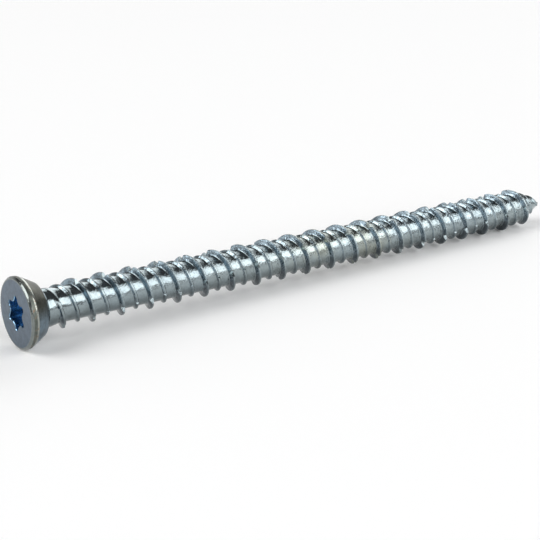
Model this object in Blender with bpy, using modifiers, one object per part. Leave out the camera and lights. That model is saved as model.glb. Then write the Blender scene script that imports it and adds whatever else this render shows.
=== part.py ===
"""Concrete screw 7.5 x 112 mm: countersunk head, six-lobe recess, high and low thread, pinched point.

The screw lies as it comes to rest, on its head's rim and on a crest near the point.
Metres, +Z up, +X from the head to the point. The origin is the centre of the box's underside.

It is one forged and rolled piece. It is drawn upright first, with the head's face at height 0
and the point above it, and is laid down at the end.
"""
import math

import bmesh
import bpy
from mathutils import Matrix, Vector

MM = 0.001
NAME = "concrete_screw"

# Turned form: all round parts share these sides, whose flats lie on the true circles.
SIDES = 36
SIDE_ANGLE = math.tau / SIDES
FLAT_GAIN = 1.0 / math.cos(SIDE_ANGLE / 2)

# Head, distances from its face.
HEAD_R = 5.80 * MM
FACE_R = 5.50 * MM                     # the flat of the face ends here
FACE_EDGE_Z = 0.30 * MM
LAND_END_R = 5.72 * MM                 # the narrow land round the rim
LAND_END_Z = 1.05 * MM
CONE_END_R = 4.30 * MM
CONE_END_Z = 3.55 * MM
COLLAR_R = 3.35 * MM
COLLAR_Z = 3.86 * MM
NECK_R = 3.09 * MM
NECK_Z = 4.26 * MM

# Thread: a high and a low ridge side by side, each advancing one lead in a turn.
LEAD = 5.25 * MM
STEP = LEAD / SIDES                    # the advance from one side to the next
HIGH_R = 3.75 * MM
LOW_R = 3.24 * MM
CORE_R = 2.79 * MM
HIGH_CREST_STEPS = 1                   # half widths, counted in steps of the helix
HIGH_FOOT_STEPS = 6
LOW_FOOT_STEPS = 3
FIRST_CREST_Z = NECK_Z - 31.5 * STEP   # half a step keeps every point clear of the end planes
NOMINAL_LENGTH = 112.0 * MM
LENGTH = NECK_Z + round((NOMINAL_LENGTH - NECK_Z) / STEP) * STEP
TURNS = math.ceil((LENGTH - FIRST_CREST_Z) / LEAD) + 1

# The thread rises out of the neck and runs down to the point.
RUN_IN_Z = 4.90 * MM
RUN_IN_LENGTH = 2.10 * MM
POINT_Z = LENGTH - 5.90 * MM           # the point's taper starts here
POINT_APEX_Z = LENGTH + 0.58 * MM      # where the taper would close, past the blunt end
POINT_POWER = 0.8

# Three shallow V grooves cross both ridges, almost along the screw, and lead back a little.
GROOVES = 3
GROOVE_R = 3.00 * MM                   # bottom of a groove
GROOVE_ANGLE = math.radians(97.5)      # of one groove, at the height below
GROOVE_ANGLE_Z = 27.48 * MM
GROOVE_TURN = -SIDE_ANGLE / LEAD       # one side back in each lead

# Six-lobe recess, size 30.
RECESS_R = 2.80 * MM                   # to the bottom of a lobe
RIB_R = 1.975 * MM                     # to the top of a rib between lobes
LOBE_R = 0.45 * MM
RIB_ROUND_R = 1.19 * MM
RECESS_DEPTH = 2.90 * MM
RECESS_CENTRE_DEPTH = 3.75 * MM        # the bottom is a shallow cone
CUTTER_LIFT = 1.00 * MM


def clear_scene():
    for obj in list(bpy.data.objects):
        bpy.data.objects.remove(obj, do_unlink=True)


def new_collection(name):
    collection = bpy.data.collections.new(name)
    bpy.context.scene.collection.children.link(collection)
    return collection


def object_from_mesh(name, mesh, collection):
    obj = bpy.data.objects.new(name, mesh)
    collection.objects.link(obj)
    return obj


def profile_mesh(name, points):
    """A line of (radius, height) points in the XZ plane, from the last one down to the first."""
    mesh = bpy.data.meshes.new(name)
    coords = [(radius, 0.0, height) for radius, height in reversed(points)]
    edges = [(i, i + 1) for i in range(len(coords) - 1)]
    mesh.from_pydata(coords, edges, [])
    return mesh


def swept(name, points, collection, lead=0.0, turns=1):
    """The profile swept round Z, and up by the lead in each turn, as a plain mesh."""
    obj = object_from_mesh(name, profile_mesh(name, points), collection)
    screw = obj.modifiers.new("sweep", "SCREW")
    screw.axis = "Z"
    screw.angle = math.tau
    screw.screw_offset = lead
    screw.iterations = turns
    screw.steps = SIDES
    screw.render_steps = SIDES
    screw.use_merge_vertices = lead == 0.0
    screw.merge_threshold = 0.0001 * MM
    screw.use_smooth_shade = True
    depsgraph = bpy.context.evaluated_depsgraph_get()
    mesh = bpy.data.meshes.new_from_object(obj.evaluated_get(depsgraph))
    bpy.data.objects.remove(obj, do_unlink=True)
    return mesh


def rise(value, start, length):
    """0 before the start, 1 after the length, with a soft slope between."""
    share = min(max((value - start) / length, 0.0), 1.0)
    return share * share * (3.0 - 2.0 * share)


def taper(z):
    """What is left of the radius at a height in the point."""
    share = (POINT_APEX_Z - z) / (POINT_APEX_Z - POINT_Z)
    return min(share, 1.0) ** POINT_POWER


def on_groove(angle, z):
    """Whether the side at this angle is the one nearest to a groove at this height."""
    line = GROOVE_ANGLE + GROOVE_TURN * (z - GROOVE_ANGLE_Z)
    pitch = math.tau / GROOVES
    away = (angle - line + pitch / 2) % pitch - pitch / 2
    return abs(away) < SIDE_ANGLE / 2


def shank_radius(radius, angle, z):
    """The true radius of a point that the plain helix puts at this radius."""
    grown = rise(z, RUN_IN_Z, RUN_IN_LENGTH)
    root = NECK_R + (CORE_R - NECK_R) * grown
    true_radius = root + (radius - CORE_R) * grown
    if radius > CORE_R + 0.1 * MM and on_groove(angle, z):
        true_radius = min(true_radius, max(GROOVE_R, root))
    return true_radius * taper(z)


def shank_mesh(collection):
    """The threaded shank, trimmed flat at the neck and at the blunt end of the point."""
    crest = FIRST_CREST_Z
    middle = crest + LEAD / 2
    points = [
        (CORE_R, crest - HIGH_FOOT_STEPS * STEP),
        (HIGH_R, crest - HIGH_CREST_STEPS * STEP),
        (HIGH_R, crest + HIGH_CREST_STEPS * STEP),
        (CORE_R, crest + HIGH_FOOT_STEPS * STEP),
        (CORE_R, middle - LOW_FOOT_STEPS * STEP),
        (LOW_R, middle),
        (CORE_R, middle + LOW_FOOT_STEPS * STEP),
        (CORE_R, crest - HIGH_FOOT_STEPS * STEP + LEAD),
    ]
    mesh = swept("shank", points, collection, lead=LEAD, turns=TURNS)
    point_end_r = CORE_R * taper(LENGTH)
    form = bmesh.new()
    form.from_mesh(mesh)
    bmesh.ops.remove_doubles(form, verts=form.verts, dist=0.001 * MM)
    for vert in form.verts:
        angle = math.atan2(vert.co.y, vert.co.x)
        z = vert.co.z
        if z < NECK_Z:
            radius, z = NECK_R, NECK_Z
        elif z > LENGTH:
            radius, z = point_end_r, LENGTH
        else:
            radius = shank_radius(vert.co.xy.length, angle, z)
        vert.co = Vector((radius * math.cos(angle), radius * math.sin(angle), z))
    bmesh.ops.remove_doubles(form, verts=form.verts, dist=0.001 * MM)
    tip_edges = [e for e in form.edges if e.is_boundary and e.verts[0].co.z > LENGTH / 2]
    bmesh.ops.holes_fill(form, edges=tip_edges)
    form.to_mesh(mesh)
    form.free()
    return mesh


def head_mesh(collection):
    """The turned head, from the middle of its face to the ring where the neck takes over."""
    points = [
        (0.0, 0.0),
        (FACE_R, 0.0),
        (HEAD_R, FACE_EDGE_Z),
        (LAND_END_R, LAND_END_Z),
        (CONE_END_R, CONE_END_Z),
        (COLLAR_R, COLLAR_Z),
        (NECK_R, NECK_Z),
    ]
    return swept("head", points, collection)


def lobed_outline():
    """The recess's outline: six lobes joined by six rounded ribs, all arcs tangent."""
    lobe_centre = RECESS_R - LOBE_R
    rib_centre = RIB_R + RIB_ROUND_R
    half_pitch = math.pi / 6
    across = rib_centre * math.sin(half_pitch)
    along = rib_centre * math.cos(half_pitch) - lobe_centre
    lobe_reach = math.atan2(across, along)
    rib_reach = lobe_reach - half_pitch
    outline = []
    for lobe in range(6):
        turn = Matrix.Rotation(lobe * math.pi / 3, 2)
        for share in (-1.0, -0.5, 0.0, 0.5, 1.0):
            angle = share * lobe_reach
            outline.append(turn @ Vector((lobe_centre + LOBE_R * math.cos(angle), LOBE_R * math.sin(angle))))
        turn = turn @ Matrix.Rotation(half_pitch, 2)
        for share in (-0.5, 0.0, 0.5):
            angle = share * rib_reach
            x = rib_centre - RIB_ROUND_R * math.cos(angle)
            outline.append(turn @ Vector((x, RIB_ROUND_R * math.sin(angle))))
    return outline


def recess_mesh():
    """The cutter for the recess: the lobed outline drawn out, with a conical bottom."""
    form = bmesh.new()
    outline = lobed_outline()
    mouth = [form.verts.new((p.x, p.y, -CUTTER_LIFT)) for p in outline]
    bottom = [form.verts.new((p.x, p.y, RECESS_DEPTH)) for p in outline]
    centre = form.verts.new((0.0, 0.0, RECESS_CENTRE_DEPTH))
    form.faces.new(mouth)
    for i in range(len(outline)):
        following = (i + 1) % len(outline)
        form.faces.new((mouth[i], mouth[following], bottom[following], bottom[i]))
        form.faces.new((bottom[i], bottom[following], centre))
    bmesh.ops.recalc_face_normals(form, faces=form.faces)
    mesh = bpy.data.meshes.new("recess_cutter")
    form.to_mesh(mesh)
    form.free()
    return mesh


def blank_mesh(collection):
    """Head and shank as one closed body, with the flats brought out to the true circles."""
    form = bmesh.new()
    form.from_mesh(head_mesh(collection))
    form.from_mesh(shank_mesh(collection))
    bmesh.ops.remove_doubles(form, verts=form.verts, dist=0.001 * MM)
    bmesh.ops.recalc_face_normals(form, faces=form.faces)
    for face in form.faces:
        face.smooth = True
    mesh = bpy.data.meshes.new(NAME)
    form.to_mesh(mesh)
    form.free()
    mesh.transform(Matrix.Diagonal((FLAT_GAIN, FLAT_GAIN, 1.0, 1.0)))
    mesh.set_sharp_from_angle(angle=math.radians(35))
    return mesh


def last_low_crest_z():
    """Height of the last full crest of the high ridge on the side that will face down."""
    first = FIRST_CREST_Z + LEAD / 2
    return first + LEAD * math.floor((POINT_Z - first) / LEAD)


def lying_transform():
    """Turns the upright screw onto its side, then down until rim and crest touch the ground."""
    axes = Matrix(((0, 0, 1, 0), (0, -1, 0, 0), (1, 0, 0, 0), (0, 0, 0, 1)))
    drop = FLAT_GAIN * (HEAD_R - HIGH_R)
    slope = math.atan2(drop, last_low_crest_z() + HIGH_CREST_STEPS * STEP - FACE_EDGE_Z)
    return Matrix.Rotation(slope, 4, "Y") @ axes


def zinc_plated_steel():
    material = bpy.data.materials.new("zinc_plated_steel")
    material.use_nodes = True
    shader = material.node_tree.nodes["Principled BSDF"]
    shader.inputs["Base Color"].default_value = (0.60, 0.62, 0.64, 1.0)
    shader.inputs["Metallic"].default_value = 1.0
    shader.inputs["Roughness"].default_value = 0.28
    return material


def main():
    clear_scene()
    body_collection = new_collection(NAME)
    cutter_collection = new_collection(NAME + "_cutters")

    mesh = blank_mesh(body_collection)
    cutter_mesh = recess_mesh()

    lay = lying_transform()
    mesh.transform(lay)
    xs = [v.co.x for v in mesh.vertices]
    ys = [v.co.y for v in mesh.vertices]
    lowest = min(v.co.z for v in mesh.vertices)
    place = Matrix.Translation((-(min(xs) + max(xs)) / 2, -(min(ys) + max(ys)) / 2, -lowest))
    mesh.transform(place)
    cutter_mesh.transform(place @ lay)

    screw = object_from_mesh(NAME, mesh, body_collection)
    screw.data.materials.append(zinc_plated_steel())

    cutter = object_from_mesh("recess_cutter", cutter_mesh, cutter_collection)
    cutter.hide_render = True
    cutter.display_type = "WIRE"

    recess = screw.modifiers.new("recess", "BOOLEAN")
    recess.operation = "DIFFERENCE"
    recess.solver = "EXACT"
    recess.object = cutter


main()
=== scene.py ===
"""Looks of a long countersunk concrete screw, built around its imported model.

The screw is drawn upright, with the head's face at height 0 and the point above it, and is then
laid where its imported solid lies. Sizes are written in millimetres and multiplied by MM.
"""
from __future__ import annotations

import logging
import math
from collections.abc import Callable, Mapping, Sequence
from dataclasses import dataclass, field
from enum import Enum

import bpy
import numpy as np
from mathutils import Matrix, Vector

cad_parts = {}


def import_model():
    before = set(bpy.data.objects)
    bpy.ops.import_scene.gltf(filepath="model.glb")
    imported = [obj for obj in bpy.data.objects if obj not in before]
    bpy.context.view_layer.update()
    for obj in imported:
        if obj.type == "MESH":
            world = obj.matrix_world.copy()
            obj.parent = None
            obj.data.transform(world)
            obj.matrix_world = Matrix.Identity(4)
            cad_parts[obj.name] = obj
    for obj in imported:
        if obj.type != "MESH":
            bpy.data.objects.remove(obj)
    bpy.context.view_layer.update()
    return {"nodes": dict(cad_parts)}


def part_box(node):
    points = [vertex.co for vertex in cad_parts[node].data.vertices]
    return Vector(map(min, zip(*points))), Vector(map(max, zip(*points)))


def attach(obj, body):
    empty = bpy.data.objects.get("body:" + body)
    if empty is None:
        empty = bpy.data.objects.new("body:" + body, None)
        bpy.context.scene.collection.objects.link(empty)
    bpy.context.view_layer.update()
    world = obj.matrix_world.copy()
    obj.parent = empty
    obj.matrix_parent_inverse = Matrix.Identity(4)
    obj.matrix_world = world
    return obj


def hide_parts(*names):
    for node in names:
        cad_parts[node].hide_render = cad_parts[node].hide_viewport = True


MM = 0.001
NODE = "concrete_screw"
SLOT = "zinc_plated_steel"
BODY = "root"
COLUMNS = 120               # sides of every round form, shared so that forms can be welded
ROUND_SEGMENTS = 3          # short edges that replace a rounded corner
WELD = 0.001 * MM           # vertices closer than this are one
STEEPNESS = "steepness"     # attribute: 0 where a face looks sideways, 1 along the screw
LOG = logging.getLogger(NODE)

Corner = tuple[float, float]
Span = tuple[float, float]
Colour = tuple[float, float, float]


# ---------------------------------------------------------------- bench tools


class Bench:
    """Tools for shaping one mesh at a time, used as by hand."""

    @staticmethod
    def clear_selection() -> None:
        """Leaves nothing selected, so that an operator acts only on what is picked next."""
        bpy.ops.object.select_all(action="DESELECT")

    @staticmethod
    def pick(obj: bpy.types.Object) -> None:
        """Selects one object alone and makes it the active one.

        Args:
            obj: The object to work on next.
        """
        Bench.clear_selection()
        obj.select_set(True)
        bpy.context.view_layer.objects.active = obj

    @staticmethod
    def settle(obj: bpy.types.Object, place: Matrix) -> None:
        """Moves an object to a place and applies that place to its mesh.

        Args:
            obj: The object to move.
            place: The matrix that takes it there.
        """
        obj.matrix_world = place
        Bench.pick(obj)
        bpy.ops.object.transform_apply(location=True, rotation=True, scale=True)

    @staticmethod
    def trace(name: str, corners: Sequence[Corner], flat: bool = False) -> bpy.types.Object:
        """Traces a line by extruding one vertex from corner to corner.

        Args:
            name: Name of the new object.
            corners: The line's corners in metres, as (radius, height), or (x, y) if flat.
            flat: Whether the line lies in the XY plane instead of the XZ plane.

        Returns:
            The new object, with its origin at the world's origin.
        """
        places = [Vector((a, b, 0.0) if flat else (a, 0.0, b)) for a, b in corners]
        Bench.clear_selection()
        bpy.ops.mesh.primitive_plane_add(size=MM, location=places[0])
        obj = bpy.context.object
        obj.name = name
        bpy.ops.object.mode_set(mode="EDIT")
        bpy.ops.mesh.select_all(action="SELECT")
        bpy.ops.mesh.merge(type="CENTER")
        for here, there in zip(places, places[1:]):
            bpy.ops.mesh.extrude_region_move(TRANSFORM_OT_translate={"value": there - here})
        bpy.ops.object.mode_set(mode="OBJECT")
        bpy.ops.object.transform_apply(location=True, rotation=True, scale=True)
        return obj

    @staticmethod
    def select(obj: bpy.types.Object, chosen: Callable[[Vector], bool]) -> None:
        """Enters edit mode with only the chosen vertices selected.

        Args:
            obj: The object to edit.
            chosen: Tells from a vertex's place whether it is selected.
        """
        Bench.pick(obj)
        for face in obj.data.polygons:
            face.select = False
        for edge in obj.data.edges:
            edge.select = False
        for vert in obj.data.vertices:
            vert.select = chosen(vert.co)
        bpy.ops.object.mode_set(mode="EDIT")
        bpy.ops.mesh.select_mode(type="VERT")

    @staticmethod
    def round_corners(
        obj: bpy.types.Object, chosen: Callable[[Vector], bool], reach: float
    ) -> None:
        """Rounds the chosen corners of a traced line.

        Args:
            obj: The traced line.
            chosen: Tells from a corner's place whether it is rounded.
            reach: How far from the corner the rounding starts.
        """
        Bench.select(obj, chosen)
        bpy.ops.mesh.bevel(
            offset_type="OFFSET",
            offset=reach,
            segments=ROUND_SEGMENTS,
            affect="VERTICES",
            clamp_overlap=False,
        )
        bpy.ops.object.mode_set(mode="OBJECT")

    @staticmethod
    def sweep(
        obj: bpy.types.Object, angle: float, advance: float, steps: int, turns: int = 1
    ) -> None:
        """Sweeps a traced line round Z and along it.

        Args:
            obj: The traced line.
            angle: Angle of one sweep, in radians.
            advance: Rise in one sweep, in metres.
            steps: Number of columns in one sweep.
            turns: Number of sweeps, one above the other.
        """
        Bench.pick(obj)
        screw = obj.modifiers.new("sweep", "SCREW")
        screw.axis = "Z"
        screw.angle = angle
        screw.screw_offset = advance
        screw.iterations = turns
        screw.steps = steps
        screw.render_steps = steps
        screw.use_merge_vertices = False
        bpy.ops.object.modifier_apply(modifier=screw.name)

    @staticmethod
    def weld(obj: bpy.types.Object, close_ends: bool = False) -> None:
        """Merges vertices that share a place, and turns the faces outwards.

        Args:
            obj: The object to tidy.
            close_ends: Whether open ends are capped first.
        """
        Bench.pick(obj)
        bpy.ops.object.mode_set(mode="EDIT")
        bpy.ops.mesh.select_mode(type="VERT")
        bpy.ops.mesh.select_all(action="SELECT")
        bpy.ops.mesh.remove_doubles(threshold=WELD)
        if close_ends:
            bpy.ops.mesh.select_all(action="SELECT")
            bpy.ops.mesh.fill_holes(sides=0)
        bpy.ops.mesh.select_all(action="SELECT")
        bpy.ops.mesh.normals_make_consistent(inside=False)
        bpy.ops.object.mode_set(mode="OBJECT")

    @staticmethod
    def cut(obj: bpy.types.Object, cutter: bpy.types.Object) -> None:
        """Cuts one closed form out of another and removes the cutter.

        Args:
            obj: The form that is kept.
            cutter: The form that is cut out of it.
        """
        Bench.pick(obj)
        boolean = obj.modifiers.new("cut", "BOOLEAN")
        boolean.operation = "DIFFERENCE"
        boolean.solver = "MANIFOLD"
        boolean.object = cutter
        bpy.ops.object.modifier_apply(modifier=boolean.name)
        bpy.data.objects.remove(cutter, do_unlink=True)

    @staticmethod
    def drop_slivers(obj: bpy.types.Object) -> None:
        """Takes out the triangles that the cuts left without width or loose.

        Args:
            obj: The cut object. Its faces become triangles.
        """
        Bench.pick(obj)
        bpy.ops.object.mode_set(mode="EDIT")
        bpy.ops.mesh.select_all(action="SELECT")
        bpy.ops.mesh.quads_convert_to_tris(quad_method="BEAUTY", ngon_method="BEAUTY")
        bpy.ops.mesh.dissolve_degenerate(threshold=WELD)
        bpy.ops.mesh.select_all(action="DESELECT")
        bpy.ops.mesh.select_mode(type="EDGE")
        bpy.ops.mesh.select_non_manifold(
            extend=False,
            use_wire=True,
            use_boundary=True,
            use_multi_face=False,
            use_non_contiguous=False,
            use_verts=False,
        )
        bpy.ops.mesh.delete(type="EDGE")
        bpy.ops.object.mode_set(mode="OBJECT")

    @staticmethod
    def mark_steepness(obj: bpy.types.Object) -> None:
        """Notes on each vertex how much its normal lies along Z, while the piece is upright.

        Args:
            obj: The upright object.
        """
        normals = np.empty(len(obj.data.vertices) * 3, np.float32)
        obj.data.vertices.foreach_get("normal", normals)
        mark = obj.data.attributes.new(STEEPNESS, "FLOAT", "POINT")
        mark.data.foreach_set("value", np.abs(normals.reshape(-1, 3)[:, 2]).copy())

    @staticmethod
    def places(obj: bpy.types.Object) -> np.ndarray:
        """Reads where the vertices are.

        Args:
            obj: The object to read.

        Returns:
            The places of all its vertices, one row each.
        """
        flat = np.empty(len(obj.data.vertices) * 3, np.float32)
        obj.data.vertices.foreach_get("co", flat)
        return flat.reshape(-1, 3).astype(float)

    @staticmethod
    def move_to(obj: bpy.types.Object, places: np.ndarray) -> None:
        """Puts the vertices at new places, one row each."""
        obj.data.vertices.foreach_set("co", places.astype(np.float32).ravel())
        obj.data.update()


# ---------------------------------------------------------------- shader tools


@dataclass(frozen=True)
class Clouds:
    """A cloudy pattern."""

    size: float                         # of its largest clouds, in metres
    detail: float                       # number of finer layers
    rough: float                        # strength of each finer layer


class Term:
    """A value that varies over a surface. Python's operators on it add Math nodes."""

    def __init__(self, graph: Graph, socket: bpy.types.NodeSocket) -> None:
        """Wraps one output socket of a graph."""
        self.graph = graph
        self.socket = socket

    def _math(self, operation: str, *values: Term | float) -> Term:
        """Adds one Math node over the given values."""
        settings = {"operation": operation}
        return self.graph.add("ShaderNodeMath", settings, dict(enumerate(values)))

    def __add__(self, other: Term | float) -> Term:
        """Sum."""
        return self._math("ADD", self, other)

    def __radd__(self, other: float) -> Term:
        """Sum with a number on the left."""
        return self._math("ADD", other, self)

    def __sub__(self, other: Term | float) -> Term:
        """Difference."""
        return self._math("SUBTRACT", self, other)

    def __rsub__(self, other: float) -> Term:
        """Difference from a number on the left."""
        return self._math("SUBTRACT", other, self)

    def __mul__(self, other: Term | float) -> Term:
        """Product."""
        return self._math("MULTIPLY", self, other)

    def __rmul__(self, other: float) -> Term:
        """Product with a number on the left."""
        return self._math("MULTIPLY", other, self)

    def __pow__(self, other: Term | float) -> Term:
        """Power."""
        return self._math("POWER", self, other)

    def between(self, low: float, high: float) -> Term:
        """A soft step.

        Args:
            low: At or below this value the step is 0.
            high: At or above this value the step is 1.

        Returns:
            The step, from 0 to 1.
        """
        settings = {"interpolation_type": "SMOOTHSTEP"}
        inputs = {"Value": self, "From Min": low, "From Max": high}
        return self.graph.add("ShaderNodeMapRange", settings, inputs)


class Graph:
    """The node tree of one material or of the world."""

    def __init__(self, tree: bpy.types.NodeTree) -> None:
        """Starts an empty graph on a node tree."""
        self.tree = tree
        tree.nodes.clear()

    def node(
        self,
        kind: str,
        settings: Mapping[str, object] | None = None,
        inputs: Mapping[int | str, object] | None = None,
    ) -> bpy.types.Node:
        """Adds a node.

        Args:
            kind: Blender's type name of the node.
            settings: Properties of the node, set first.
            inputs: Values or links of its sockets, by name or index.

        Returns:
            The new node.
        """
        node = self.tree.nodes.new(kind)
        for name, value in (settings or {}).items():
            setattr(node, name, value)
        for key, value in (inputs or {}).items():
            if isinstance(value, Term):
                self.tree.links.new(value.socket, node.inputs[key])
            else:
                node.inputs[key].default_value = value
        return node

    def add(
        self,
        kind: str,
        settings: Mapping[str, object] | None = None,
        inputs: Mapping[int | str, object] | None = None,
        output: int | str = 0,
    ) -> Term:
        """Adds a node and returns one of its outputs. The first three are as in node."""
        return Term(self, self.node(kind, settings, inputs).outputs[output])

    def blend(self, share: Term, first: Term | Colour, second: Term | Colour) -> Term:
        """A colour between two others.

        Args:
            share: 0 for the first colour, 1 for the second.
            first: A colour or a colour's link.
            second: A colour or a colour's link.

        Returns:
            The mixed colour.
        """
        settings = {"data_type": "RGBA"}
        inputs = {0: share, 6: self.colour(first), 7: self.colour(second)}
        return self.add("ShaderNodeMix", settings, inputs, output=2)

    def scaled(self, colour: Term | Colour, factor: Term) -> Term:
        """A colour made darker or lighter all through."""
        inputs = {0: colour, "Scale": factor}
        return self.add("ShaderNodeVectorMath", {"operation": "SCALE"}, inputs)

    @staticmethod
    def colour(value: Term | Colour) -> Term | tuple[float, ...]:
        """A colour with its alpha, or the link as it is."""
        return value if isinstance(value, Term) else (*value, 1.0)

    def noise(self, place: Term, clouds: Clouds) -> Term:
        """Reads a cloudy pattern.

        Args:
            place: Where the pattern is read.
            clouds: The pattern's sizes.

        Returns:
            The pattern from 0 to 1, about 0.5 on average.
        """
        inputs = {
            "Vector": place,
            "Scale": 1.0 / clouds.size,
            "Detail": clouds.detail,
            "Roughness": clouds.rough,
        }
        return self.add("ShaderNodeTexNoise", {}, inputs)


# ---------------------------------------------------------------- the screw's sizes


@dataclass(frozen=True)
class Neck:
    """The plain length between the head and the thread."""

    radius: float = 3.09 * MM
    start: float = 4.26 * MM
    end: float = 4.90 * MM


@dataclass(frozen=True)
class Head:
    """The countersunk head, turned from its face to the ring where the neck takes over."""

    radius: float = 5.80 * MM
    face_radius: float = 5.50 * MM
    face_edge: float = 0.30 * MM
    land_end_radius: float = 5.72 * MM
    land_end: float = 1.05 * MM
    cone_end_radius: float = 4.30 * MM
    cone_end: float = 3.55 * MM
    collar_radius: float = 3.35 * MM
    collar: float = 3.86 * MM
    edge_reach: float = 0.06 * MM       # rounding of the face's edge and the land's
    corner_reach: float = 0.24 * MM     # rounding of the corners behind it
    support: float = 0.06 * MM          # distance of the loop that keeps the face flat

    def build(self, neck: Neck) -> bpy.types.Object:
        """Traces the head's outline and spins it.

        Args:
            neck: The neck that the head runs into.

        Returns:
            The open head, with its last ring where the neck starts.
        """
        inner = self.edge_reach + self.support
        obj = Bench.trace("head", [
            (0.0, 0.0),
            (self.face_radius - inner, 0.0),
            (self.face_radius, 0.0),
            (self.radius, self.face_edge),
            (self.land_end_radius, self.land_end),
            (self.cone_end_radius, self.cone_end),
            (self.collar_radius, self.collar),
            (neck.radius, neck.start),
        ])
        rim_inside = self.face_radius - inner / 2
        rim_top = self.face_edge + self.edge_reach / 2
        Bench.round_corners(
            obj, lambda co: co.x > rim_inside and co.z < rim_top, self.edge_reach
        )
        for height in (self.land_end, self.cone_end, self.collar):
            Bench.round_corners(obj, lambda co: abs(co.z - height) < WELD, self.corner_reach)
        Bench.select(obj, lambda co: True)
        bpy.ops.mesh.spin(
            steps=COLUMNS, angle=math.tau, center=(0.0, 0.0, 0.0), axis=(0.0, 0.0, 1.0)
        )
        bpy.ops.object.mode_set(mode="OBJECT")
        return obj


@dataclass(frozen=True)
class Ridge:
    """One thread ridge's cross-section."""

    radius: float
    crest_half: float
    foot_half: float
    crest_reach: float                  # rounding of the crest's corners
    foot_reach: float                   # rounding where the ridge meets the core
    lean: float                         # how far the crest lies towards the point

    def corners(self, height: float, core: float) -> list[Corner]:
        """The ridge's four corners.

        Args:
            height: Height of the middle of its foot.
            core: Radius of the core that it stands on.

        Returns:
            The corners as (radius, height), from the head's side to the point's.
        """
        crest = height + self.lean
        return [
            (core, height - self.foot_half),
            (self.radius, crest - self.crest_half),
            (self.radius, crest + self.crest_half),
            (core, height + self.foot_half),
        ]

    def round_off(self, obj: bpy.types.Object, height: float, core: float) -> None:
        """Rounds the ridge's crest and feet on the traced line.

        Args:
            obj: The traced line.
            height: Height of the middle of the ridge's foot.
            core: Radius of the core that it stands on.
        """
        near = self.foot_half + WELD
        for radius, reach in ((self.radius, self.crest_reach), (core, self.foot_reach)):
            Bench.round_corners(
                obj,
                lambda co: abs(co.z - height) < near and abs(co.x - radius) < WELD,
                reach,
            )


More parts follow.
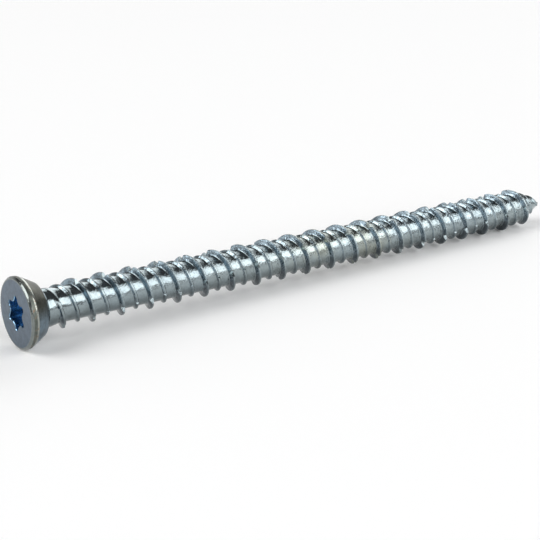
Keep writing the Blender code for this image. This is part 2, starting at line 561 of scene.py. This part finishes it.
@dataclass(frozen=True)
class Shank:
    """The threaded shank: a high and a low ridge side by side, with notches across them."""

    neck: Neck
    lead: float = 5.25 * MM
    core_radius: float = 2.79 * MM
    high: Ridge = Ridge(
        radius=3.75 * MM,
        crest_half=0.16 * MM,
        foot_half=0.46 * MM,
        crest_reach=0.08 * MM,
        foot_reach=0.12 * MM,
        lean=0.0,
    )
    low: Ridge = Ridge(
        radius=3.24 * MM,
        crest_half=0.15 * MM,
        foot_half=0.37 * MM,
        crest_reach=0.09 * MM,
        foot_reach=0.13 * MM,
        lean=0.05 * MM,
    )
    first_crest: float = -0.33 * MM     # of the high ridge, sunk in the head
    length: float = 112.03 * MM
    run_in: float = 2.10 * MM
    point_length: float = 5.90 * MM
    point_apex: float = 0.25 * MM       # past the blunt end
    point_power: float = 0.8
    end_round: float = 0.12 * MM
    end_steps: int = 3
    notches: int = 3
    notch_radius: float = 3.00 * MM     # at the notches' bottom
    notch_half: float = 0.65 * MM       # half their width at the high crest
    notch_past: float = 0.50 * MM       # how far the cutter stands out past the high crest
    notch_angle: float = math.radians(101.5)
    notch_angle_height: float = 27.0 * MM
    notch_turn: float = -math.radians(9.6)     # in each lead
    notch_start: float = 5.60 * MM
    notch_steps: int = 2 * COLUMNS

    @property
    def end(self) -> float:
        """Height at which the rounded end starts."""
        return self.length - self.end_round

    def taper(self, height: np.ndarray) -> np.ndarray:
        """How far the point has narrowed.

        Args:
            height: Heights along the screw.

        Returns:
            What is left of the radius at each height, from 1 to 0.
        """
        reach = self.point_length + self.point_apex
        share = (self.length + self.point_apex - height) / reach
        return np.clip(share, 0.0, 1.0) ** self.point_power

    def grown(self, height: np.ndarray) -> np.ndarray:
        """How far the thread has risen out of the neck at each height, from 0 to 1."""
        share = np.clip((height - self.neck.end) / self.run_in, 0.0, 1.0)
        return share * share * (3.0 - 2.0 * share)

    def notch_line(self, height: float) -> float:
        """Angle of the first row of notches at a height."""
        leads = (height - self.notch_angle_height) / self.lead
        return self.notch_angle + self.notch_turn * leads

    def build(self) -> bpy.types.Object:
        """Sweeps the thread's outline up the shank and shapes its two ends.

        Returns:
            The shank, open where the head joins it and rounded at the point.
        """
        start = self.first_crest - self.lead / 4
        low_crest = self.first_crest + self.lead / 2
        obj = Bench.trace("shank", [
            (self.core_radius, start),
            *self.high.corners(self.first_crest, self.core_radius),
            *self.low.corners(low_crest, self.core_radius),
            (self.core_radius, start + self.lead),
        ])
        self.high.round_off(obj, self.first_crest, self.core_radius)
        self.low.round_off(obj, low_crest, self.core_radius)
        turns = math.ceil((self.length - self.first_crest) / self.lead) + 1
        Bench.sweep(obj, math.tau, self.lead, COLUMNS, turns)
        self._shape_ends(obj)
        Bench.weld(obj)
        self._round_point(obj)
        return obj

    def _shape_ends(self, obj: bpy.types.Object) -> None:
        """Lets the thread rise out of the neck and run down to the point.

        Args:
            obj: The swept thread, as wide all along.
        """
        co = Bench.places(obj)
        radius = np.hypot(co[:, 0], co[:, 1])
        angle = np.arctan2(co[:, 1], co[:, 0])
        height = np.maximum(co[:, 2], self.neck.start)
        grown = self.grown(height)
        root = self.neck.radius + (self.core_radius - self.neck.radius) * grown
        shaped = (root + (radius - self.core_radius) * grown) * self.taper(height)
        co = np.stack([shaped * np.cos(angle), shaped * np.sin(angle), height], axis=1)
        Bench.move_to(obj, co)

    def _round_point(self, obj: bpy.types.Object) -> None:
        """Closes the blunt end with a small dome.

        Args:
            obj: The shank, still open and too long at the point.
        """
        Bench.select(obj, lambda co: True)
        bpy.ops.mesh.bisect(
            plane_co=(0.0, 0.0, self.end),
            plane_no=(0.0, 0.0, 1.0),
            use_fill=True,
            clear_outer=True,
            threshold=WELD,
        )
        bpy.ops.object.mode_set(mode="OBJECT")
        Bench.select(obj, lambda co: co.z > self.end - WELD)
        angles = [step / self.end_steps * math.pi / 2 for step in range(self.end_steps)]
        for before, after in zip(angles, [*angles[1:], math.pi / 2]):
            climb = (math.sin(after) - math.sin(before)) * self.end_round
            scale = math.cos(after) / math.cos(before)
            bpy.ops.mesh.extrude_region_move(
                TRANSFORM_OT_translate={"value": (0.0, 0.0, climb)}
            )
            bpy.ops.transform.resize(
                value=(scale, scale, 1.0), center_override=(0.0, 0.0, self.length)
            )
        bpy.ops.mesh.merge(type="CENTER")
        bpy.ops.object.mode_set(mode="OBJECT")

    def notch_cutter(self, index: int) -> bpy.types.Object:
        """Makes the V bar that cuts one row of notches.

        Args:
            index: Number of the row, from 0.

        Returns:
            The closed bar, which turns back slowly as it runs up the shank.
        """
        slope = self.notch_half / (self.high.radius - self.notch_radius)
        outer = self.high.radius + self.notch_past
        half = slope * (outer - self.notch_radius)
        bar = Bench.trace(
            f"notch_cutter_{index}",
            [(self.notch_radius, 0.0), (outer, half), (outer, -half), (self.notch_radius, 0.0)],
            flat=True,
        )
        run = self.length - self.notch_start
        Bench.sweep(bar, self.notch_turn * run / self.lead, run, self.notch_steps)
        Bench.weld(bar, close_ends=True)
        start = self.notch_line(self.notch_start) + index * math.tau / self.notches
        lift = Matrix.Translation((0.0, 0.0, self.notch_start))
        Bench.settle(bar, lift @ Matrix.Rotation(start, 4, "Z"))
        return bar


@dataclass(frozen=True)
class Recess:
    """The six-lobe driver recess in the head's face."""

    lobes: int = 6
    radius: float = 2.80 * MM           # to the bottoms of its lobes
    rib_radius: float = 1.975 * MM      # to the tops of its ribs
    lobe_round: float = 0.45 * MM
    rib_round: float = 1.19 * MM
    depth: float = 2.90 * MM            # at the wall
    centre_depth: float = 3.75 * MM
    mouth: float = 0.12 * MM            # width of the bevel at the face
    lift: float = 1.00 * MM             # how far the cutter stands out of the face
    arc_points: int = 7

    @staticmethod
    def arc(out: float, bearing: float, radius: float, angles: np.ndarray) -> list[Corner]:
        """Points on an arc.

        Args:
            out: Distance of the arc's centre from the recess's axis.
            bearing: Direction in which that centre lies.
            radius: The arc's radius.
            angles: Directions from the arc's centre to its points.

        Returns:
            The points, in the order of the angles.
        """
        x = out * math.cos(bearing)
        y = out * math.sin(bearing)
        return [(x + radius * math.cos(a), y + radius * math.sin(a)) for a in angles]

    def outline(self) -> list[Corner]:
        """Draws the recess from above.

        Returns:
            The corners of its closed outline: lobes joined by ribs, all arcs tangent.
        """
        lobe_out = self.radius - self.lobe_round
        rib_out = self.rib_radius + self.rib_round
        pitch = math.pi / self.lobes
        reach = math.atan2(
            rib_out * math.sin(pitch), rib_out * math.cos(pitch) - lobe_out
        )
        shares = np.linspace(-1.0, 1.0, self.arc_points)
        lobe_angles = shares * reach
        rib_angles = math.pi - shares[1:-1] * (reach - pitch)
        points: list[Corner] = []
        for lobe in range(self.lobes):
            turn = lobe * math.tau / self.lobes
            middle = turn + pitch
            points += self.arc(lobe_out, turn, self.lobe_round, turn + lobe_angles)
            points += self.arc(rib_out, middle, self.rib_round, middle + rib_angles)
        return points

    def cutter(self) -> bpy.types.Object:
        """Extrudes the outline into the cutter that leaves the recess.

        Returns:
            The closed cutter, from above the face to its conical bottom.
        """
        outline = self.outline()
        obj = Bench.trace("recess_cutter", [*outline, outline[0]], flat=True)
        Bench.settle(obj, Matrix.Translation((0.0, 0.0, -self.lift)))
        Bench.weld(obj)
        Bench.select(obj, lambda co: True)
        for climb in (self.depth + self.lift, self.centre_depth - self.depth):
            bpy.ops.mesh.extrude_region_move(
                TRANSFORM_OT_translate={"value": (0.0, 0.0, climb)}
            )
        bpy.ops.mesh.merge(type="CENTER")
        bpy.ops.object.mode_set(mode="OBJECT")
        Bench.weld(obj, close_ends=True)
        return obj

    def ease_mouth(self, obj: bpy.types.Object) -> None:
        """Breaks the recess's edge at the face.

        Args:
            obj: The upright screw with its recess cut.
        """
        inside = self.rib_radius - WELD
        outside = self.radius + WELD
        Bench.select(obj, lambda co: abs(co.z) < WELD and inside < co.xy.length < outside)
        bpy.ops.mesh.select_mode(type="EDGE")
        bpy.ops.mesh.bevel(
            offset_type="OFFSET", offset=self.mouth, segments=1, affect="EDGES"
        )
        bpy.ops.object.mode_set(mode="OBJECT")


# ---------------------------------------------------------------- finish


@dataclass(frozen=True)
class Zones:
    """Where a place on the screw is: its measures, and masks from 0 to 1 for each region."""

    own: Term                           # the place as on the upright screw
    up: Term                            # how high it lies over the axis of the laid screw
    height: Term                        # distance from the head's face
    head: Term
    face: Term
    rim: Term                           # the land with its corner towards the cone
    land: Term
    corner: Term
    cone: Term
    recess: Term
    flank: Term
    crest: Term


@dataclass(frozen=True)
class Mottle:
    """How unevenly a region shines."""

    base: float
    by_clouds: float
    by_grain: float

    def level(self, clouds: Term, grain: Term) -> Term:
        """The region's brightness over two patterns."""
        return self.base + self.by_clouds * clouds + self.by_grain * grain


@dataclass(frozen=True)
class ZincPlating:
    """Bright blue-white zinc on rolled steel, duller where the steel was forged, with painted
    shade on the underside and on the cone's top and a painted highlight on the land's corner.
    """

    core_colour: Colour = (0.335, 0.40, 0.425)
    olive_colour: Colour = (0.358, 0.392, 0.358)
    flank_colour: Colour = (0.273, 0.345, 0.392)
    # painted shade: the colour of the thread's flanks on the screw's underside
    underside_shaded_flank_colour: Colour = (0.10, 0.12, 0.133)
    face_colour: Colour = (0.136, 0.173, 0.215)
    land_colour: Colour = (0.134, 0.15, 0.134)
    cone_colour: Colour = (0.144, 0.193, 0.232)
    edge_colour: Colour = (0.21, 0.233, 0.225)
    # painted highlight: the rounded corner at the land's end is coloured brighter to stand in for
    # the light line along it
    corner_highlight_colour: Colour = (0.345, 0.367, 0.335)
    recess_colour: Colour = (0.27, 0.46, 0.64)
    # painted shade: the colour of the cone's upper side, nearly black
    cone_top_shade_colour: Colour = (0.059, 0.061, 0.05)
    stain_colour: Colour = (0.147, 0.087, 0.053)

    roughness: float = 0.12
    edge_roughness: float = 0.12
    flank_roughness: float = 0.12
    face_roughness: float = 0.40
    cone_roughness: float = 0.34
    land_roughness: float = 0.50
    recess_roughness: float = 0.20
    haze: float = 0.08                  # roughness that the clouds add

    # Where one region gives way to the next.
    below_face: Span = (0.01 * MM, 0.05 * MM)
    face_inset: Span = (0.24 * MM, 0.08 * MM)       # inwards from the face's edge
    edge_shares: Span = (0.9, 1.2)                  # of the height of the face's edge
    corner_band: Span = (0.12 * MM, 0.24 * MM)      # to both sides of the land's end
    neck_band: Span = (-0.08 * MM, 0.32 * MM)       # from the collar
    wall_fade: float = 0.08 * MM                    # past the recess's wall and bottom
    flank_steepness: Span = (0.62, 0.90)
    crest_radii: Span = (3.1 * MM, 3.6 * MM)
    # painted shade on the underside: full below the first height over the axis, gone above the
    # second
    underside_shade_span: Span = (-1.7 * MM, 0.5 * MM)        # height over the axis
    # painted shade on the cone's top: starts at the first height over the axis, full at the
    # second
    cone_top_shade_span: Span = (-1.0 * MM, 2.5 * MM)        # height over the axis
    near_until: Span = (20.0 * MM, 60.0 * MM)
    calm_until: Span = (6.0 * MM, 26.0 * MM)
    tint_from: Span = (42.0 * MM, 60.0 * MM)
    tint_until: Span = (66.0 * MM, 82.0 * MM)

    # The patterns, and between which of their levels they act.
    clouds: Clouds = Clouds(1.4 * MM, 4.0, 0.6)
    grain: Clouds = Clouds(0.28 * MM, 3.0, 0.6)
    streaks: Clouds = Clouds(0.50 * MM, 2.0, 0.5)
    tint: Clouds = Clouds(12.0 * MM, 3.0, 0.6)
    streak_stretch: tuple[float, float, float] = (1.0, 1.0, 4.0)
    tint_levels: Span = (0.36, 0.60)
    stain_grain_levels: Span = (0.50, 0.58)
    stain_cloud_levels: Span = (0.48, 0.56)
    blot_levels: Span = (0.34, 0.64)
    speck_levels: Span = (0.34, 0.66)
    haze_levels: Span = (0.4, 0.8)

    # How much each of them does.
    tint_elsewhere: float = 0.2
    # how much the painted shade darkens the screw's underside
    underside_shade_strength: float = 0.34
    near_dimming: float = 0.13
    stain_strength: float = 0.8
    coarse: Mottle = Mottle(0.55, 0.55, 0.25)
    smooth: Mottle = Mottle(0.82, 0.16, 0.14)
    cloud_relief: float = 0.6
    grain_relief: float = 0.12
    crest_grain_relief: float = 0.25
    streak_relief: float = 0.12
    calm_relief: float = 0.45           # share of the relief that is left near the head
    bump_strength: float = 0.8
    bump_depth: float = 0.34 * MM

    def material(self, lay: Matrix, head: Head, recess: Recess) -> bpy.types.Material:
        """Builds the plating's material.

        Args:
            lay: Takes places on the upright screw to where the screw lies.
            head: The head, for where its face and edges are.
            recess: The recess, for where its walls are.

        Returns:
            The material.
        """
        material = bpy.data.materials.new(SLOT)
        material.use_nodes = True
        graph = Graph(material.node_tree)
        zones = self._zones(graph, lay, head, recess)
        clouds = graph.noise(zones.own, self.clouds)
        grain = graph.noise(zones.own, self.grain)
        shader = graph.add(
            "ShaderNodeBsdfPrincipled",
            {},
            {
                "Base Color": self._colour(graph, zones, clouds, grain),
                "Metallic": 1.0,
                "Roughness": self._roughness(zones, clouds),
                "Normal": self._bump(graph, zones, clouds, grain),
            },
        )
        graph.node("ShaderNodeOutputMaterial", {}, {"Surface": shader})
        return material

    def _zones(self, graph: Graph, lay: Matrix, head: Head, recess: Recess) -> Zones:
        """Tells the regions of the screw apart.

        Args:
            graph: The material's graph.
            lay: Takes places on the upright screw to where the screw lies.
            head: The head, for where its face and edges are.
            recess: The recess, for where its walls are.

        Returns:
            The measures and masks of each place.
        """
        place = graph.add("ShaderNodeTexCoord", output="Object")
        back, turn, _ = lay.decompose()
        own = graph.add(
            "ShaderNodeMapping",
            {"vector_type": "TEXTURE"},
            {"Vector": place, "Location": back, "Rotation": turn.to_euler()},
        )
        split = graph.node("ShaderNodeSeparateXYZ", {}, {0: own})
        up, aside, height = (Term(graph, output) for output in split.outputs)
        radius = (up * up + aside * aside) ** 0.5
        steep = graph.add("ShaderNodeAttribute", {"attribute_name": STEEPNESS}, {}, "Fac")

        inner, outer = self.corner_band
        below_face = height.between(*self.below_face)
        past_edge = height.between(*(share * head.face_edge for share in self.edge_shares))
        past_land = height.between(head.land_end - outer, head.land_end - inner)
        past_corner = height.between(head.land_end + inner, head.land_end + outer)
        past_head = height.between(*(head.collar + rise for rise in self.neck_band))
        past_face = radius.between(*(head.face_radius - inset for inset in self.face_inset))
        past_wall = radius.between(recess.radius, recess.radius + self.wall_fade)
        past_bottom = height.between(recess.centre_depth, recess.centre_depth + self.wall_fade)
        return Zones(
            own=own,
            up=up,
            height=height,
            head=1.0 - past_head,
            face=(1.0 - below_face) * (1.0 - past_face),
            rim=past_edge * (1.0 - past_corner),
            land=past_edge * (1.0 - past_land),
            corner=past_land * (1.0 - past_corner),
            cone=past_corner * (1.0 - past_head),
            recess=below_face * (1.0 - past_wall) * (1.0 - past_bottom),
            flank=steep.between(*self.flank_steepness) * past_head,
            crest=radius.between(*self.crest_radii) * past_head,
        )

    def _colour(self, graph: Graph, zones: Zones, clouds: Term, grain: Term) -> Term:
        """Colours each region, with painted shade on the underside and on the cone's top and a
        painted highlight on the land's corner.

        Args:
            graph: The material's graph.
            zones: The regions.
            clouds: The coarser pattern.
            grain: The finer pattern.

        Returns:
            The plating's colour.
        """
        tint = graph.noise(zones.own, self.tint)
        past_middle = zones.height.between(*self.tint_until)
        middle = zones.height.between(*self.tint_from) * (1.0 - past_middle)
        tinted = (middle + self.tint_elsewhere) * tint.between(*self.tint_levels)
        colour = graph.blend(tinted, self.core_colour, self.olive_colour)
        # painted shade: the colour darkens towards the underside of the laid screw; it is also a
        # little darker near the head
        underside_shade = 1.0 - zones.up.between(*self.underside_shade_span)
        near = 1.0 - zones.height.between(*self.near_until)
        dimmed = (1.0 - self.underside_shade_strength * underside_shade) * (1.0 - self.near_dimming * near)
        colour = graph.scaled(colour, dimmed)

        # painted shade: the flanks turn much darker towards the underside
        flank = graph.blend(underside_shade, self.flank_colour, self.underside_shaded_flank_colour)
        # painted shade: the cone's upper side is darkened
        cone_top_shade = zones.cone * zones.up.between(*self.cone_top_shade_span)
        stained_grain = grain.between(*self.stain_grain_levels)
        stained_clouds = clouds.between(*self.stain_cloud_levels)
        for share, other in (
            # the flanks, with painted shade towards the underside
            (zones.flank, flank),
            (zones.head, self.edge_colour),
            (zones.land, self.land_colour),
            # painted highlight on the land's corner
            (zones.corner, self.corner_highlight_colour),
            (zones.cone, self.cone_colour),
            (zones.face, self.face_colour),
            # painted shade on the cone's top
            (cone_top_shade, self.cone_top_shade_colour),
            (zones.rim * stained_grain * stained_clouds * self.stain_strength, self.stain_colour),
            (zones.recess, self.recess_colour),
        ):
            colour = graph.blend(share, colour, other)

        blots = clouds.between(*self.blot_levels)
        specks = grain.between(*self.speck_levels)
        coarse = self.coarse.level(blots, specks)
        smooth = self.smooth.level(blots, specks)
        uneven = zones.cone + zones.land + zones.flank + zones.recess
        return graph.scaled(colour, smooth + uneven * (coarse - smooth))

    def _roughness(self, zones: Zones, clouds: Term) -> Term:
        """Makes the rolled parts bright and the forged ones dull.

        Args:
            zones: The regions.
            clouds: The pattern that hazes the plating.

        Returns:
            The plating's roughness.
        """
        rough = self.roughness + self.haze * clouds.between(*self.haze_levels)
        for share, level in (
            (zones.flank, self.flank_roughness),
            (zones.head, self.edge_roughness),
            (zones.land, self.land_roughness),
            (zones.cone, self.cone_roughness),
            (zones.face, self.face_roughness),
            (zones.recess, self.recess_roughness),
        ):
            rough = rough + share * (level - rough)
        return rough

    def _bump(self, graph: Graph, zones: Zones, clouds: Term, grain: Term) -> Term:
        """Makes the surface slightly wavy, most of all on the crests.

        Args:
            graph: The material's graph.
            zones: The regions.
            clouds: The coarser pattern.
            grain: The finer pattern.

        Returns:
            The surface's normal.
        """
        stretched = {"Vector": zones.own, "Scale": self.streak_stretch}
        streaks = graph.noise(graph.add("ShaderNodeMapping", {}, stretched), self.streaks)
        grain_relief = self.grain_relief + self.crest_grain_relief * zones.crest
        relief = clouds * self.cloud_relief + grain * grain_relief + streaks * self.streak_relief
        past_calm = zones.height.between(*self.calm_until)
        relief = relief * (self.calm_relief + (1.0 - self.calm_relief) * past_calm)
        return graph.add(
            "ShaderNodeBump",
            {},
            {"Strength": self.bump_strength, "Distance": self.bump_depth, "Height": relief},
        )


# ---------------------------------------------------------------- the screw


@dataclass
class ConcreteScrew:
    """The whole screw, one forged and rolled piece."""

    low_corner: Vector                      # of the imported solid's box
    high_corner: Vector
    slope: float = math.radians(1.157)      # the screw's axis sinks towards the point
    solid_sides: int = 36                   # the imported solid's round parts lie on an edge
    smooth_angle: float = math.radians(32.0)
    head: Head = field(default_factory=Head)
    neck: Neck = field(default_factory=Neck)
    recess: Recess = field(default_factory=Recess)
    finish: ZincPlating = field(default_factory=ZincPlating)

    @property
    def lay(self) -> Matrix:
        """Takes the upright screw to where its solid lies.

        Returns:
            The matrix that turns and moves it.
        """
        sink = math.sin(self.slope)
        edge_radius = self.head.face_radius / math.cos(math.pi / self.solid_sides)
        face = Vector((
            self.low_corner.x + edge_radius * sink,
            (self.low_corner.y + self.high_corner.y) / 2,
            (self.low_corner.z + self.high_corner.z) / 2 + self.head.face_edge * sink,
        ))
        along = Matrix(((0, 0, 1, 0), (0, -1, 0, 0), (1, 0, 0, 0), (0, 0, 0, 1)))
        return Matrix.Translation(face) @ Matrix.Rotation(self.slope, 4, "Y") @ along

    def build(self) -> bpy.types.Object:
        """Builds, welds, cuts and dresses the screw.

        Returns:
            The finished object, with its origin at the world's origin.
        """
        shank = Shank(self.neck)
        head = self.head.build(self.neck)
        body = shank.build()
        Bench.pick(head)
        body.select_set(True)
        bpy.ops.object.join()
        screw = bpy.context.object
        screw.name = "dressed_screw"
        screw.data.name = screw.name
        Bench.weld(screw)
        for index in range(shank.notches):
            Bench.cut(screw, shank.notch_cutter(index))
        Bench.cut(screw, self.recess.cutter())
        self.recess.ease_mouth(screw)
        Bench.drop_slivers(screw)
        Bench.mark_steepness(screw)
        Bench.settle(screw, self.lay)
        bpy.ops.object.shade_smooth_by_angle(angle=self.smooth_angle)
        screw.data.materials.clear()
        screw.data.materials.append(self.finish.material(self.lay, self.head, self.recess))
        return screw


# ---------------------------------------------------------------- stage


def heading(bearing: float, elevation: float) -> Vector:
    """A direction of length 1.

    Args:
        bearing: Its angle from +X towards +Y, in radians.
        elevation: Its angle above the ground, in radians.

    Returns:
        The direction.
    """
    flat = math.cos(elevation)
    return Vector((
        flat * math.cos(bearing), flat * math.sin(bearing), math.sin(elevation)
    ))


@dataclass(frozen=True)
class Floor:
    """The pale floor that the screw lies on."""

    size: float = 12.0
    colour: Colour = (0.95, 0.95, 0.947)

    def build(self) -> bpy.types.Object:
        """Adds the floor and its material.

        Returns:
            The floor.
        """
        Bench.clear_selection()
        bpy.ops.mesh.primitive_plane_add(size=self.size, location=(0.0, 0.0, 0.0))
        floor = bpy.context.object
        floor.name = "floor"
        material = bpy.data.materials.new("pale_floor")
        material.use_nodes = True
        graph = Graph(material.node_tree)
        shader = graph.add("ShaderNodeBsdfDiffuse", {}, {"Color": graph.colour(self.colour)})
        graph.node("ShaderNodeOutputMaterial", {}, {"Surface": shader})
        floor.data.materials.append(material)
        return floor


class LampKind(Enum):
    """The studio's lamps, named by their work."""

    SOFTBOX = "softbox"
    SIDE = "side"
    BACK = "back"
    CARD = "card"


@dataclass(frozen=True)
class Lamp:
    """A rectangular lamp aimed at the screw."""

    kind: LampKind
    bearing: float
    elevation: float
    across: float                       # how wide it looks from the screw, in degrees
    tall: float                         # how tall it looks, in degrees
    radiance: float
    distance: float = 4.0
    aim: tuple[float, float, float] = (0.0, 0.0, 0.004)

    def length(self, degrees: float) -> float:
        """Length that looks so many degrees long at the lamp's distance."""
        return 2.0 * self.distance * math.tan(math.radians(degrees) / 2)

    def build(self) -> bpy.types.Object:
        """Adds the lamp and aims it.

        Returns:
            The lamp.
        """
        away = heading(self.bearing, self.elevation)
        light = bpy.data.lights.new(self.kind.value, "AREA")
        light.shape = "RECTANGLE"
        light.size = self.length(self.across)
        light.size_y = self.length(self.tall)
        light.energy = self.radiance * math.pi * light.size * light.size_y
        lamp = bpy.data.objects.new(self.kind.value, light)
        bpy.context.scene.collection.objects.link(lamp)
        lamp.location = Vector(self.aim) + away * self.distance
        lamp.rotation_euler = (-away).to_track_quat("-Z", "Y").to_euler()
        return lamp


@dataclass(frozen=True)
class Studio:
    """The floor, the lamps, the surroundings and the camera."""

    camera_place: tuple[float, float, float] = (-0.13934, -0.18488, 0.08480)
    camera_bearing: float = math.radians(54.679)
    camera_pitch: float = math.radians(-19.849)
    lens: float = 93.333
    sensor: float = 36.0
    clip: Span = (0.01, 50.0)
    bright_side: float = math.radians(90.0)
    bright_span: Span = (-0.1, 0.9)     # cosine of the angle from the bright side
    dim_share: float = 0.4
    glow: Colour = (0.72, 0.72, 0.72)
    glow_heights: Span = (0.15, 0.60)
    ceiling: Colour = (0.087, 0.087, 0.09)
    lamps: tuple[Lamp, ...] = (
        Lamp(
            LampKind.SOFTBOX,
            bearing=math.radians(-58.0),
            elevation=math.radians(31.0),
            across=66.0,
            tall=39.0,
            radiance=2.75,
        ),
        Lamp(
            LampKind.SIDE,
            bearing=math.radians(-120.0),
            elevation=math.radians(21.0),
            across=56.0,
            tall=20.0,
            radiance=1.9,
        ),
        Lamp(
            LampKind.BACK,
            bearing=math.radians(168.0),
            elevation=math.radians(43.0),
            across=40.0,
            tall=40.0,
            radiance=3.75,
        ),
        Lamp(
            LampKind.CARD,
            bearing=math.radians(36.0),
            elevation=math.radians(28.0),
            across=54.0,
            tall=34.0,
            radiance=2.0,
        ),
    )

    def build(self) -> None:
        """Sets the whole studio up."""
        Floor().build()
        for lamp in self.lamps:
            lamp.build()
        self._surroundings()
        self._camera()
        bpy.context.scene.view_settings.view_transform = "Standard"

    def _surroundings(self) -> None:
        """Puts a dim ceiling round the stage that brightens towards the horizon."""
        world = bpy.data.worlds.new("studio_room")
        world.use_nodes = True
        graph = Graph(world.node_tree)
        place = graph.add("ShaderNodeTexCoord", output="Generated")
        height = graph.add("ShaderNodeSeparateXYZ", {}, {0: place}, "Z")
        facing = graph.add(
            "ShaderNodeVectorMath",
            {"operation": "DOT_PRODUCT"},
            {0: place, 1: heading(self.bright_side, 0.0)},
            "Value",
        )
        side = self.dim_share + (1.0 - self.dim_share) * facing.between(*self.bright_span)
        low = 1.0 - height.between(*self.glow_heights)
        glow = graph.scaled(self.glow, low * side)
        level = graph.add(
            "ShaderNodeVectorMath", {"operation": "ADD"}, {0: glow, 1: self.ceiling}
        )
        background = graph.add("ShaderNodeBackground", {}, {"Color": level, "Strength": 1.0})
        graph.node("ShaderNodeOutputWorld", {}, {"Surface": background})
        bpy.context.scene.world = world

    def _camera(self) -> None:
        """Stands the camera where it sees the screw as the photograph does."""
        data = bpy.data.cameras.new("camera")
        data.sensor_width = self.sensor
        data.lens = self.lens
        data.clip_start, data.clip_end = self.clip
        camera = bpy.data.objects.new("camera", data)
        bpy.context.scene.collection.objects.link(camera)
        forward = heading(self.camera_bearing, self.camera_pitch)
        camera.location = self.camera_place
        camera.rotation_euler = forward.to_track_quat("-Z", "Y").to_euler()
        bpy.context.scene.camera = camera


def main() -> None:
    """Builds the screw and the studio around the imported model."""
    logging.basicConfig(level=logging.INFO, format="%(name)s: %(message)s")
    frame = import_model()
    LOG.info("packed nodes: %s", sorted(frame["nodes"]))
    low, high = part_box(NODE)
    screw = ConcreteScrew(low, high).build()
    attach(screw, BODY)
    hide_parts(NODE)
    screw.data.calc_loop_triangles()
    LOG.info("%s: %d triangles", screw.name, len(screw.data.loop_triangles))
    Studio().build()


if __name__ == "__main__":
    main()
